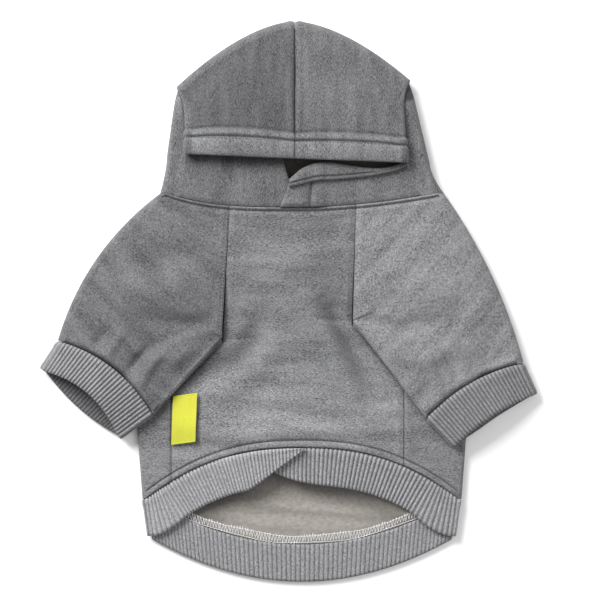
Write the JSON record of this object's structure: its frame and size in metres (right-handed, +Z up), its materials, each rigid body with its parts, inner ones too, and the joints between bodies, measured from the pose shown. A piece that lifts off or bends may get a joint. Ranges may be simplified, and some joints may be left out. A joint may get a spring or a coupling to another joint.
{
  "type": "dog hoodie",
  "caption": "Small dog's fleece pullover hoodie lying flat on its back, with raglan sleeves, ribbed cuffs, a ribbed waistband with crossed ends, a seamed hood and a side flag label.",
  "frame": {"origin": "middle of the bounding box in plan, on the surface that the hoodie lies on", "axes": "+X across the body to the right of the picture, +Y from the hem towards the hood, +Z up off the surface, out of the belly"},
  "size_m": [0.348, 0.3914, 0.0188],
  "materials": {
    "fleece_body": "matte",
    "fleece_sleeve": "matte",
    "fleece_hood": "matte",
    "rib_knit": "matte",
    "label_weave": "matte"
  },
  "bodies": {
    "root": {"belly_panel": "fleece_body", "back_panel": "fleece_body", "sleeve_left": "fleece_sleeve", "sleeve_right": "fleece_sleeve", "cuff_left": "rib_knit", "cuff_right": "rib_knit", "waistband": "rib_knit", "hood_left": "fleece_hood", "hood_right": "fleece_hood", "side_label": "label_weave"}
  },
  "joints": []
}
